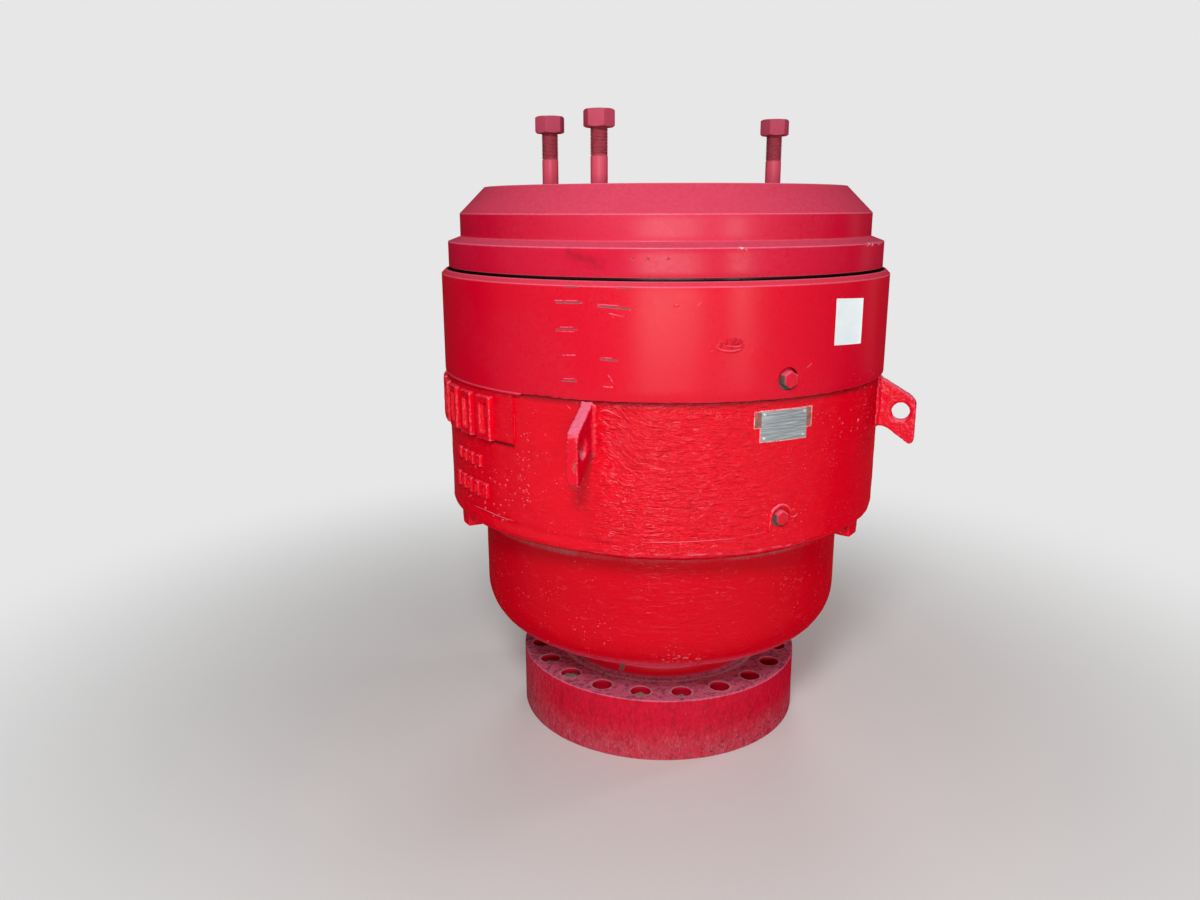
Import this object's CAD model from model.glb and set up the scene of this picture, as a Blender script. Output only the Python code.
import bpy
import math
import random
from mathutils import Matrix, Vector


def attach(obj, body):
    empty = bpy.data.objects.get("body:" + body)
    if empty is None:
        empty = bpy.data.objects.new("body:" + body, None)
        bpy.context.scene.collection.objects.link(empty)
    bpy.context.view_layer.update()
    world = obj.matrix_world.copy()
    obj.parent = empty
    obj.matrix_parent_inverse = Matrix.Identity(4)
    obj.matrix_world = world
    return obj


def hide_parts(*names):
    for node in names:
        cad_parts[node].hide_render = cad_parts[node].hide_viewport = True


# Looks of the annular blowout preventer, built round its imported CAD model.
# Sizes in the dictionaries are in mm; azimuth 0 faces -Y and 90 faces +X.
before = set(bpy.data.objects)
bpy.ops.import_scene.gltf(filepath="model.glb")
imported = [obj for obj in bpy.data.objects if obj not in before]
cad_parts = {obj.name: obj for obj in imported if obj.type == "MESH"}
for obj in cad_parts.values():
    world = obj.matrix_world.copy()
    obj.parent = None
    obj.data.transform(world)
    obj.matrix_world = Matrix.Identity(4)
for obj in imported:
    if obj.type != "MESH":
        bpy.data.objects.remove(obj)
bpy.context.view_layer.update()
mm = 0.001
chance = random.Random(41)
print("frame loaded,", len(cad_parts), "nodes")


# camera, floor and light
cameraSet = {"place": (-0.167, -2.579, 1.375), "pitch": 75.85, "roll": -0.15, "lens": 28.833, "sensor": 36}
bpy.ops.object.camera_add()
camera = bpy.context.object
camera.name = "photoCamera"
camera.matrix_world = (
    Matrix.Translation(cameraSet["place"])
    @ Matrix.Rotation(math.radians(cameraSet["pitch"]), 4, "X")
    @ Matrix.Rotation(math.radians(cameraSet["roll"]), 4, "Z")
)
camera.data.lens = cameraSet["lens"]
camera.data.sensor_width = cameraSet["sensor"]
camera.data.sensor_fit = "HORIZONTAL"
camera.data.clip_end = 100
bpy.context.scene.camera = camera
bpy.context.scene.view_settings.view_transform = "Standard"

softBoxes = {  # place, aim, size, power
    "frontSoftBox": ((0, -5.4, 0.92), (0, 0, 0.85), (2.5, 0.6), 66),
    "frontLeftSoftBox": ((-0.95, -5.3, 0.9), (0, 0, 0.9), (0.6, 0.8), 9),
    "frontRightSoftBox": ((2.75, -4.4, 1), (0, 0, 1), (0.4, 0.9), 24),
    "topSoftBox": ((-0.6, -3.6, 3.3), (0, 0, 0.8), (1, 1), 112),
    "rightSoftBox": ((3.4, 1.4, 1.2), (0, 0, 0.95), (0.4, 1.4), 24),
    "leftSoftBox": ((-4, -2.2, 2.4), (0, 0, 0.9), (0.6, 1), 5),
    "backSoftBox": ((0.8, 5.2, 2.6), (0, 0, 0.8), (2.2, 1.4), 80),
}
for name, (place, aim, size, power) in softBoxes.items():
    bpy.ops.object.light_add(type="AREA", location=place)
    lamp = bpy.context.object
    lamp.name = name
    lamp.rotation_euler = (Vector(aim) - Vector(place)).to_track_quat("-Z", "Y").to_euler()
    lamp.data.shape = "RECTANGLE"
    lamp.data.size, lamp.data.size_y = size
    lamp.data.energy = power
    lamp.visible_camera = False


# sums on node sockets
class Value:
    # wraps a node's output, so that sums on it are written as Python sums
    def __init__(self, home, socket):
        self.home, self.socket = home, socket

    def maths(self, operation, first, second=None, clamp=False):
        return self.home.node("ShaderNodeMath", {"operation": operation, "use_clamp": clamp}, [first, second])

    def __add__(self, other): return self.maths("ADD", self, other)
    def __radd__(self, other): return self.maths("ADD", other, self)
    def __sub__(self, other): return self.maths("SUBTRACT", self, other)
    def __rsub__(self, other): return self.maths("SUBTRACT", other, self)
    def __mul__(self, other): return self.maths("MULTIPLY", self, other)
    def __truediv__(self, other): return self.maths("DIVIDE", self, other)
    def __pow__(self, other): return self.maths("POWER", self, other)
    def size(self): return self.maths("ABSOLUTE", self)
    def least(self, other): return self.maths("MINIMUM", self, other)
    def most(self, other): return self.maths("MAXIMUM", self, other)
    def hypot(self, other): return (self * self + other * other) ** 0.5
    def held(self): return self.maths("ADD", self, 0, clamp=True)  # kept from 0 to 1

    def between(self, low, high):  # eased from 0 at low to 1 at high
        return self.home.node(
            "ShaderNodeMapRange", {"interpolation_type": "SMOOTHSTEP"}, {0: self, 1: low, 2: high, 3: 0, 4: 1}
        )

    def within(self, low, full, stillFull, high):  # 0 at low and high, 1 from full to stillFull
        return self.between(low, full) * self.between(high, stillFull)


def highest(values):
    top, *others = values
    for value in others:
        top = top.most(value)
    return top


class Nodes:
    def __init__(self, tree):
        self.tree = tree

    def node(self, kind, settings, values, output=0):
        made = self.tree.nodes.new(kind)
        for name, setting in settings.items():
            setattr(made, name, setting)
        for place, value in values.items() if isinstance(values, dict) else enumerate(values):
            if isinstance(value, Value):
                self.tree.links.new(value.socket, made.inputs[place])
            elif value is not None:
                made.inputs[place].default_value = value
        return Value(self, made.outputs[output])

    def seen(self):
        # 1 for a ray from the camera, and for one that gloss or glass sends on
        rays = ("Is Camera Ray", "Is Glossy Ray", "Is Transmission Ray")
        return highest(self.node("ShaderNodeLightPath", {}, [], ray) for ray in rays)


class Finish(Nodes):
    # one procedural material on Object coordinates
    def __init__(self, name):
        self.material = bpy.data.materials.new(name)
        self.material.use_nodes = True
        super().__init__(self.material.node_tree)
        self.tree.nodes.clear()
        self.shader = self.tree.nodes.new("ShaderNodeBsdfPrincipled")
        self.out = self.tree.nodes.new("ShaderNodeOutputMaterial")
        self.tree.links.new(self.shader.outputs[0], self.out.inputs[0])
        self.place = self.node("ShaderNodeTexCoord", {}, [], "Object")
        x, y, z = (self.node("ShaderNodeSeparateXYZ", {}, [self.place], axis) for axis in range(3))
        self.z = z * 1000  # heights and radii in mm, as in the dictionaries
        self.radius = x.hypot(y) * 1000
        self.turn = x.maths("ARCTAN2", x, y * -1) * math.degrees(1)

    def noise(self, grain, detail=3, stretch=(1, 1, 1), roughness=0.55, twist=0, lift=None):
        # grain is the size of the pattern in mm, lift moves the pattern up by so many metres
        place = self.place
        if lift is not None:
            upward = self.node("ShaderNodeCombineXYZ", {}, {"Z": lift})
            place = self.node("ShaderNodeVectorMath", {"operation": "SUBTRACT"}, [place, upward])
        scaled = self.node("ShaderNodeVectorMath", {"operation": "MULTIPLY"}, [place, stretch])
        return self.node(
            "ShaderNodeTexNoise", {},
            {"Vector": scaled, "Scale": 1000 / grain, "Detail": detail, "Roughness": roughness, "Distortion": twist},
        )

    def mix(self, share, first, second):
        first, second = ((*c, 1) if isinstance(c, tuple) and len(c) == 3 else c for c in (first, second))
        return self.node("ShaderNodeMix", {"data_type": "RGBA"}, {0: share, 6: first, 7: second}, 2)

    def over(self, share, tint):
        # lays a tint over the colour so far; the node itself keeps the share from 0 to 1
        self.skin = self.mix(share, self.skin, tints[tint])

    def dulled(self, more):
        self.rough = (self.rough + more).held()

    def ringEdge(self, radius, height, width):
        # 1 on a turned edge at that radius and height, fading out over width
        return (1 - (self.radius - radius).hypot(self.z - height) / width).held()

    def along(self, azimuth, wall):
        # distance in mm round a wall of that radius from an azimuth
        return (self.turn - azimuth) * (math.radians(1) * wall)

    def spot(self, azimuth, height, wide, tall, wall):
        # 1 in the middle of an oval on a wall of that radius, 0 at its rim
        along, up = self.along(azimuth, wall) / wide, (self.z - height) / tall
        return (1 - (along * along + up * up)).held()

    def streak(self, start, end, width, wall):
        # 1 along a line between two (azimuth, height) places on a wall, 0 beside it
        along, up = (end[0] - start[0]) * math.radians(1) * wall, end[1] - start[1]
        reach = math.hypot(along, up)
        beside, above = self.along(start[0], wall), self.z - start[1]
        way = (beside * (along / reach) + above * (up / reach)) / reach
        aside = (above * (along / reach) - beside * (up / reach)).size() / width
        return (1 - aside).held() * way.within(-0.03, 0.08, 0.92, 1.03)

    def streaks(self, lines, wall):
        return highest(self.streak(*line, wall) for line in lines)

    def fromHoles(self, circle, first, pitch):
        # distance in mm from the nearest hole of a ring
        apart = self.turn.maths("FLOORED_MODULO", self.turn - first + pitch / 2, pitch) - pitch / 2
        return (apart * (math.radians(1) * circle)).hypot(self.radius - circle)

    def bump(self, height, depth, under=None):
        # depth is the height in mm that a pattern's 0 to 1 stands for
        values = {"Strength": 1, "Distance": depth * mm, "Height": height, "Normal": under}
        return self.node("ShaderNodeBump", {}, values)

    def dulledAside(self, normal, low, high, share):
        # takes shine off where the skin is seen aslant
        plain = self.node("ShaderNodeBsdfPrincipled", {}, {
            "Base Color": self.skin, "Normal": normal, "Roughness": 0.9, "Specular IOR Level": 0})
        aslant = self.node("ShaderNodeLayerWeight", {}, {"Blend": 0.5}, "Facing").between(low, high) * share
        self.blended(aslant, plain)

    def blended(self, share, second):
        # shows a mix of the shader and a second one
        mixed = self.node("ShaderNodeMixShader", {}, [share, Value(self, self.shader.outputs[0]), second])
        self.tree.links.new(mixed.socket, self.out.inputs[0])

    def set(self, **values):
        names = {"colour": "Base Color", "roughness": "Roughness", "metallic": "Metallic", "normal": "Normal",
                 "gloss": "Specular IOR Level"}
        for name, value in values.items():
            socket = self.shader.inputs[names[name]]
            if isinstance(value, Value):
                self.tree.links.new(value.socket, socket)
            else:
                socket.default_value = (*value, 1) if isinstance(value, tuple) else value
        return self.material


# floor and background
stageSet = {"radius": 14, "colour": (0.76, 0.76, 0.75), "fadeFrom": 700, "fadeTo": 2600, "fill": 0.125,
            "backdrop": 0.8}
bpy.ops.mesh.primitive_circle_add(vertices=96, radius=stageSet["radius"], fill_type="NGON", location=(0, 0, -0.0005))
floor = bpy.context.object
floor.name = "floor"
floorFinish = Finish("paleFloor")
far = floorFinish.radius.between(stageSet["fadeFrom"], stageSet["fadeTo"]) * floorFinish.seen()
floorFinish.set(colour=stageSet["colour"], roughness=0.9, gloss=0.1)
white = floorFinish.node("ShaderNodeEmission", {}, {"Color": (1, 1, 1, 1), "Strength": stageSet["backdrop"]})
floorFinish.blended(far, white)
floor.data.materials.append(floorFinish.material)

world = bpy.data.worlds.new("studio")
bpy.context.scene.world = world
world.use_nodes = True
backdrop = world.node_tree.nodes["Background"]
sky = Nodes(world.node_tree)
level = sky.node("ShaderNodeMapRange", {}, {0: sky.seen(), 3: stageSet["fill"], 4: stageSet["backdrop"]})
sky.tree.links.new(level.socket, backdrop.inputs["Strength"])
backdrop.inputs["Color"].default_value = (1, 1, 1, 1)
print("camera, floor and light are set")


# making helpers
def around(azimuth, radius, height):
    # a place in metres from an azimuth in degrees and sizes in mm
    turn = math.radians(azimuth)
    return Vector((radius * math.sin(turn), -radius * math.cos(turn), height)) * mm


def measured(piece):
    # each vertex with its azimuth in degrees, and its radius and height in mm
    for vertex in piece.data.vertices:
        x, y, z = vertex.co
        yield vertex, math.degrees(math.atan2(x, -y)), math.hypot(x, y) / mm, z / mm


def facing(azimuth, radius, height):
    # turns a form modelled at the origin, +Z outwards and +Y up, to face out of a wall
    turn = math.radians(azimuth)
    right, up, out = (math.cos(turn), math.sin(turn), 0), (0, 0, 1), (math.sin(turn), -math.cos(turn), 0)
    return Matrix.Translation(around(azimuth, radius, height)) @ Matrix((right, up, out)).transposed().to_4x4()


def spun(degrees):
    return Matrix.Rotation(math.radians(degrees), 4, "Z")


def deselectAll():
    if bpy.context.object and bpy.context.object.mode != "OBJECT":
        bpy.ops.object.mode_set(mode="OBJECT")
    bpy.ops.object.select_all(action="DESELECT")


def pick(*pieces):
    deselectAll()
    for piece in pieces:
        piece.select_set(True)
    bpy.context.view_layer.objects.active = pieces[0]


def named(piece, name):
    piece.name = piece.data.name = name
    return piece


def applied(piece, kind, **settings):
    # adds a modifier and applies it at once
    pick(piece)
    modifier = piece.modifiers.new(kind.lower(), kind)
    for setting, value in settings.items():
        setattr(modifier, setting, value)
    bpy.ops.object.modifier_apply(modifier=modifier.name)
    return piece


def bevelled(piece, width, segments=3, angle=30):
    return applied(piece, "BEVEL", width=width * mm, segments=segments, angle_limit=math.radians(angle))


def smoothed(piece, angle=40):
    pick(piece)
    bpy.ops.object.shade_smooth_by_angle(angle=math.radians(angle))
    return piece


def softened(piece):
    pick(piece)
    bpy.ops.object.shade_smooth()
    return piece


def cut(piece, tool, operation="DIFFERENCE"):
    applied(piece, "BOOLEAN", operation=operation, solver="EXACT", object=tool)
    bpy.data.objects.remove(tool)
    return piece


def joined(pieces, name):
    pick(*pieces)
    if len(pieces) > 1:
        bpy.ops.object.join()
    return named(bpy.context.object, name)


def copied(piece, matrix):
    twin = piece.copy()
    twin.data = piece.data.copy()
    bpy.context.scene.collection.objects.link(twin)
    twin.data.transform(matrix)
    return twin


def ringOf(piece, azimuths, name):
    # the piece, modelled at azimuth 0, copied to each azimuth and joined
    twins = [copied(piece, spun(azimuth)) for azimuth in azimuths]
    bpy.data.objects.remove(piece)
    return joined(twins, name)


def drilledRing(piece, rings, sides, circle, first, count):
    # cuts a ring of like holes, the first at an azimuth
    tool = rodOf("holeTool", rings, sides, Matrix.Translation(around(0, circle, 0)))
    cut(piece, ringOf(tool, [first + index * 360 / count for index in range(count)], "holeTools"))


def roundedOutline(corners, arcStep):
    # corners are (radius, height, rounding, run): rounding is the corner's own
    # radius, and run the longest step of the straight run that follows it
    outline = []
    for index, (across, up, *more) in enumerate(corners):
        here = Vector((across, up))
        rounding = more[0] if more else 0
        if rounding:
            back = (Vector(corners[index - 1][:2]) - here).normalized()
            ahead = (Vector(corners[(index + 1) % len(corners)][:2]) - here).normalized()
            half = back.angle(ahead) / 2
            centre = here + (back + ahead).normalized() * rounding / math.sin(half)
            first = here + back * rounding / math.tan(half) - centre
            last = here + ahead * rounding / math.tan(half) - centre
            turn = first.angle(last)
            steps = max(3, round(rounding * turn / arcStep))
            for step in range(steps + 1):
                share = step / steps
                arm = (first * math.sin((1 - share) * turn) + last * math.sin(share * turn)) / math.sin(turn)
                outline.append([centre + arm, None])
        else:
            outline.append([here, None])
        outline[-1][1] = more[1] if len(more) > 1 else None
    places = []
    for index, (here, run) in enumerate(outline):
        there = outline[(index + 1) % len(outline)][0]
        count = max(1, round((there - here).length / run)) if run else 1
        places += [here.lerp(there, step / count) for step in range(count)]
    return places


def edit():
    bpy.ops.object.mode_set(mode="EDIT")
    bpy.ops.mesh.select_all(action="SELECT")


def edited(piece):
    # turns the normals of a closed form outward and leaves edit mode
    bpy.ops.mesh.select_all(action="SELECT")
    bpy.ops.mesh.normals_make_consistent(inside=False)
    bpy.ops.object.mode_set(mode="OBJECT")
    return piece


def begun(name):
    # keeps a new form's place in its mesh, and opens it in edit mode
    piece = named(bpy.context.object, name)
    bpy.ops.object.transform_apply(location=True)
    edit()
    return piece


def drawn(name, places):
    # extrudes a point from place to place, fills the outline and stays in edit mode
    deselectAll()
    bpy.ops.mesh.primitive_plane_add(size=mm, location=places[0])
    piece = begun(name)
    bpy.ops.mesh.merge(type="CENTER")
    for here, there in zip(places, places[1:]):
        bpy.ops.mesh.extrude_vertices_move(TRANSFORM_OT_translate={"value": there - here})
    bpy.ops.mesh.select_all(action="SELECT")
    bpy.ops.mesh.edge_face_add()
    return piece


def turned(name, corners, steps, span=None, arcStep=3):
    # a section spun round Z, all the way or over a span of azimuths
    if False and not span:
        steps = steps // 2
    endAzimuth = span[1] if span else 90
    piece = drawn(name, [around(endAzimuth, *place) for place in roundedOutline(corners, arcStep)])
    if not span:
        bpy.ops.mesh.delete(type="ONLY_FACE")
        bpy.ops.mesh.select_all(action="SELECT")
    sweep = math.radians(span[1] - span[0]) if span else math.tau
    bpy.ops.mesh.spin(steps=steps, angle=sweep, center=(0, 0, 0), axis=(0, 0, 1))
    bpy.ops.mesh.select_all(action="SELECT")
    bpy.ops.mesh.remove_doubles(threshold=1e-6)
    return edited(piece)


def sheetOf(name, back, face, low, high, span, steps, rounding=0, runs=(None,) * 4):
    # a thin sheet round a wall, from its back radius to its face
    places = zip((back, face, face, back), (low, low, high, high), (0, rounding, rounding, 0), runs)
    return turned(name, list(places), steps, span, 0.3)


def rodOf(name, rings, sides=64, matrix=None):
    # a round form along Z, extruded ring by ring: rings are (height, radius)
    deselectAll()
    height, radius = rings[0]
    bpy.ops.mesh.primitive_circle_add(
        vertices=sides, radius=radius * mm, fill_type="NGON", location=(0, 0, height * mm)
    )
    piece = begun(name)
    for nextHeight, nextRadius in rings[1:]:
        bpy.ops.mesh.extrude_region_move(TRANSFORM_OT_translate={"value": (0, 0, (nextHeight - height) * mm)})
        share = nextRadius / radius
        bpy.ops.transform.resize(value=(share, share, 1), center_override=(0, 0, 0))
        height, radius = nextHeight, nextRadius
    edited(piece)
    if matrix:
        piece.data.transform(matrix)
    return piece


def plateOf(name, outline, thickness, matrix):
    # a flat plate: an outline that is given its thickness
    piece = drawn(name, [Vector((across, up, -thickness / 2)) * mm for across, up in outline])
    bpy.ops.mesh.extrude_region_move(TRANSFORM_OT_translate={"value": (0, 0, thickness * mm)})
    edited(piece).data.transform(matrix)
    return piece


def beadOf(name, places, thickness, ends=0.25):
    # a bead that follows places, thinner towards its ends, as a mesh
    deselectAll()
    bpy.ops.curve.primitive_nurbs_path_add()
    bead = bpy.context.object
    bead.data.splines.remove(bead.data.splines[0])
    spline = bead.data.splines.new("NURBS")
    spline.points.add(len(places) - 1)
    for index, (point, place) in enumerate(zip(spline.points, places)):
        share = index / (len(places) - 1)
        point.co = (*place, 1)
        point.radius = ends + (1 - ends) * math.sin(math.pi * share) ** 0.5
    spline.order_u = 3
    spline.use_endpoint_u = True
    bead.data.bevel_depth = thickness * mm / 2
    bead.data.bevel_resolution = 3
    bead.data.use_fill_caps = True
    bpy.ops.object.convert(target="MESH")
    edit()
    bpy.ops.mesh.remove_doubles(threshold=1e-6)  # seals the end caps
    bpy.ops.object.mode_set(mode="OBJECT")
    return named(bpy.context.object, name)


def remade(piece, grain):
    # melts joined forms into one skin of even faces
    return applied(piece, "REMESH", mode="VOXEL", voxel_size=grain * mm)


def roughened(piece, grain, height, share=None, direction="NORMAL", squash=None, depth=2):
    # moves the skin by a cloud pattern, height mm from its lowest to its highest, where share says
    pattern = bpy.data.textures.new(piece.name, "CLOUDS")
    pattern.noise_scale = grain * mm
    pattern.noise_depth = depth
    group = piece.vertex_groups.new(name="roughPart")
    for vertex, azimuth, across, up in measured(piece):
        weight = share(azimuth, across, up) if share else 1
        if weight > 0:
            group.add([vertex.index], min(1, weight), "REPLACE")
    settings = {"texture": pattern, "strength": height * mm, "mid_level": 0.5, "direction": direction,
                "vertex_group": group.name}
    holder = None
    if squash:
        holder = bpy.data.objects.new("patternHolder", None)
        bpy.context.scene.collection.objects.link(holder)
        holder.scale = squash
        bpy.context.view_layer.update()
        settings.update(texture_coords="OBJECT", texture_coords_object=holder)
    applied(piece, "DISPLACE", **settings)
    piece.vertex_groups.clear()
    if holder:
        bpy.data.objects.remove(holder)
    return piece


def fade(value, low, high):  # 0 below low, 1 above high
    return min(1, max(0, (value - low) / (high - low)))


def put(piece, finish, *nodes, slot="body_paint"):
    # gives a finished piece its material, its body and the CAD nodes that it stands for
    piece.data.materials.clear()
    piece.data.materials.append(finish)
    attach(piece, "root")
    if nodes:
        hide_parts(*nodes)
    return piece


# enamels and metals
tints = {
    "cast": (0.73, 0.0004, 0.012), "bowl": (0.6, 0.0003, 0.009), "machined": (0.64, 0.001, 0.018),
    "head": (0.57, 0.003, 0.03), "lug": (0.7, 0.001, 0.018), "flange": (0.58, 0.004, 0.026),
    "stud": (0.6, 0.065, 0.115), "nut": (0.44, 0.055, 0.1), "worn": (0.82, 0.18, 0.29), "soot": (0.2, 0.002, 0.006),
    "gap": (0.03, 0.004, 0.005), "bare": (0.15, 0.085, 0.072), "bore": (0.3, 0.29, 0.28), "purple": (0.62, 0.14, 0.25),
    "chip": (0.8, 0.42, 0.42), "rubbed": (0.8, 0.22, 0.25), "jointDust": (0.33, 0.12, 0.13),
    "mottle": (0.44, 0.2, 0.24), "shade": (0.17, 0.03, 0.055), "holeRing": (0.56, 0.31, 0.35),
    "footLine": (0.6, 0.4, 0.42), "scab": (0.17, 0.12, 0.11), "wallDust": (0.42, 0.1, 0.135),
    "run": (0.26, 0.004, 0.016), "paleRun": (0.62, 0.22, 0.27), "grime": (0.16, 0.01, 0.02),
    "thread": (0.4, 0.06, 0.09), "threadGrime": (0.14, 0.02, 0.03), "lugChip": (0.16, 0.15, 0.12),
    "heelRust": (0.1, 0.07, 0.05),
}
boreEdge = 174


def enamelled(name, tint, rough=0.36, gloss=0.12, dust=0.1, edges=(), soot=(), bored=False, cast=None, extra=None,
              settledTint="worn", aside=(0.12, 0.5, 0.97), rubbed=0):
    # red enamel: edges and soot are (radius, height, width, share) of turned edges, cast is (depth, grain, tint)
    # of a casting's rippled skin, extra lays a piece's own marks, rubbed wears paint off convex edges
    paint = Finish(name)
    broad = paint.noise(140)
    fine = paint.noise(9, 4, roughness=0.65)
    paint.skin = paint.mix(broad.between(0.3, 0.7) * 0.16, tints[tint], tuple(c * 0.8 for c in tints[tint]))
    facingUp = paint.node("ShaderNodeSeparateXYZ", {}, [paint.node("ShaderNodeNewGeometry", {}, [], "Normal")], 2)
    settled = facingUp.between(0.25, 0.9) * (0.55 + fine * 0.9) * dust * 3
    haze = broad.between(0.35, 0.75) * fine.between(0.3, 0.8) * min(dust, 0.12) * 0.6
    paint.rough, paint.metal = rough + (fine - 0.5) * 0.16 + haze + settled * 0.3, 0
    paint.over(haze, "worn")
    paint.over(settled, settledTint)
    for *ring, share in edges:
        paint.over(paint.ringEdge(*ring) * (0.35 + fine * 0.8) * share, "worn")
    for *ring, share in soot:
        paint.over(paint.ringEdge(*ring) * share, "soot")
    if rubbed:
        convex = paint.node("ShaderNodeNewGeometry", {}, [], "Pointiness").between(0.515, 0.58)
        paint.over(convex * paint.noise(7).between(0.38, 0.6) * rubbed, "worn")
    relief = paint.bump(paint.noise(3.2, 2), 0.1)
    if cast:
        depth, grain, tinted = cast
        wavy = paint.turn.within(-26, -14, 6, 42) * 0.76 + 0.24
        beside = paint.turn.between(-3, -15) * paint.z.between(690, 870)  # ripples sweep down beside the front lug
        ripple = paint.noise(grain, 2, (1, 1, 2.6), twist=0.9, lift=beside * beside * 0.05)
        ridges = paint.noise(grain * 4, 2, (1, 1, 9), twist=0.4)
        if tinted:
            paint.over(ripple.between(0.56, 0.7) * wavy * tinted, "worn")
            paint.over(ripple.between(0.46, 0.34) * wavy * tinted * 2, "soot")
        flecks = paint.noise(8, 2, (1, 1, 2)).between(0.67, 0.72) * paint.noise(80, 2).between(0.46, 0.6)
        paint.over(flecks * 0.55, "worn")
        relief = paint.bump(ripple * wavy, depth, paint.bump(ridges * wavy, depth * 0.8, relief))
    sunk = extra(paint) if extra else None
    if sunk:
        relief = paint.bump(sunk, 1, relief)
    if bored:
        paint.metal = paint.radius.between(boreEdge + 0.8, boreEdge + 0.2)
        paint.over(paint.metal, "bore")
    paint.set(colour=paint.skin, roughness=paint.rough, metallic=paint.metal, normal=relief, gloss=gloss)
    paint.dulledAside(relief, *aside)
    return paint.material


portSet = {
    "upper": {"azimuth": 24.7, "height": 1014, "face": 570, "spot": 25, "hole": 16.5, "across": 34, "head": 20},
    "lower": {"azimuth": 25, "height": 697, "face": 562.85, "spot": 23, "hole": 16.5, "across": 31, "head": 15},
}
markSet = {  # scratches: start and end as (azimuth, height), and width
    "wall": 577,
    "dark": [
        ((-26.8, 1179), (-20.7, 1181), 2.3), ((-17.2, 1175), (-10.2, 1170), 2.3), ((-26.9, 1122), (-21.7, 1124), 1.6),
        ((-16.8, 1063), (-12.7, 1061), 2.2), ((-25.6, 1011), (-22, 1013), 2.2), ((-24.6, 1213), (-21.5, 1213.5), 1.3),
        ((-13.3, 1213.5), (-10, 1213.5), 1.3),
    ],
    "light": [
        ((-27.2, 1183.5), (-21.6, 1185), 1.6), ((-25.5, 1067), (-22.2, 1069), 2), ((-16.1, 1004), (-13.9, 1004), 2),
        ((-15, 1030), (-13.7, 1011), 1.5), ((-17.4, 1179), (-12.5, 1176.5), 1.5), ((-16.6, 1067), (-14.2, 1066), 1.4),
        ((-14.9, 1161), (-11.8, 1154), 1.5), ((-25.9, 1127.5), (-22.8, 1128.5), 1.4), ((3.6, 1177), (4.4, 1186), 1.4),
        ((-27, 1118), (-22.5, 1119), 1.2), ((-25.2, 1016.5), (-22.4, 1017.5), 1.2), ((29.6, 1035), (31, 1044), 1.5),
    ],
}


def bandMarks(paint):
    # scratches through the paint, the shade in the port's groove, the dark ring at the gap and a gouge
    broken = paint.noise(4.5, 4, (1, 1, 1.6), 0.7).between(0.38, 0.56)
    deep = (paint.streaks(markSet["dark"], markSet["wall"]) * (0.35 + broken) * 1.6).held()
    paint.over(paint.streaks(markSet["light"], markSet["wall"]) * broken * 0.9, "worn")
    paint.over(deep.between(0, 0.4) * 0.5, "worn")
    paint.over(deep.between(0.35, 0.7), "bare")
    azimuth, height, wall, radius = (portSet["upper"][size] for size in ("azimuth", "height", "face", "spot"))
    fromCentre = paint.along(azimuth, wall).hypot(paint.z - height)
    groove = (1 - (fromCentre - (radius - 0.5)).size() / 2).held()
    paint.over(groove * (paint.z - (height - 8) - (paint.turn - azimuth) * 6).between(-12, 10), "gap")
    paint.over(paint.z.between(1225.3, 1225.8) * paint.radius.between(564.5, 562), "gap")
    gouge = paint.spot(10.9, 1093, 33, 18, markSet["wall"]).between(0, 0.5)
    gouge = gouge * paint.noise(11, 4, twist=0.7).between(0.4, 0.62)
    paint.over(gouge * 0.3, "soot")
    paint.dulled(deep * 0.4)
    return deep * -0.9 + gouge * 1.6


def headMarks(paint):
    # pale wall, three punch dots, a dark smear, chipped ring edge, dark tapped holes and gap below the ring
    dots = highest(paint.spot(azimuth, 1271.6, 4.2, 3.6, 558) for azimuth in (-10.1, -6.9, -2.5))
    paint.over(paint.z.within(1305, 1308, 1358, 1362) * paint.turn.within(-40, -12, 10, 34) * 0.1, "worn")
    paint.over(dots.between(0, 0.3) * 0.35, "worn")
    paint.over(dots.between(0.35, 0.8) * 0.8, "soot")
    smear = paint.streak((-25.5, 1284), (-16.2, 1256), 17, 558)
    paint.over(smear * paint.noise(16).between(0.3, 0.6) * 0.5, "soot")
    chips = paint.ringEdge(558, 1294, 7) * paint.noise(11, 2).between(0.52, 0.6)
    paint.over(chips * paint.turn.within(51, 54, 62, 65).most(paint.turn.within(12.2, 13, 14, 14.8)) * 2, "chip")
    tapped = paint.fromHoles(295.275, -34.5, 22.5).between(19.9, 19.5) * paint.z.between(1421, 1420)
    paint.over(tapped * 0.55, "gap")
    paint.over(paint.z.between(1234, 1232.6) * paint.radius.between(557.6, 556.4), "gap")
    return dots * -1.2 + paint.z.maths("PINGPONG", paint.z, 1.5875) * tapped


def castMarks(paint):
    # shade under the pad and the worn line of the lower corner
    paint.over(paint.ringEdge(568, 845, 9) * paint.turn.within(-92, -88, -40.2, -39.4) * 1.3, "soot")
    torn = paint.noise(26, 3, (1, 1, 4)).between(0.45, 0.6) * paint.turn.within(-12, -6, 28, 34)
    paint.over(paint.ringEdge(566, 626, 4) * torn * 0.5, "worn")


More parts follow.
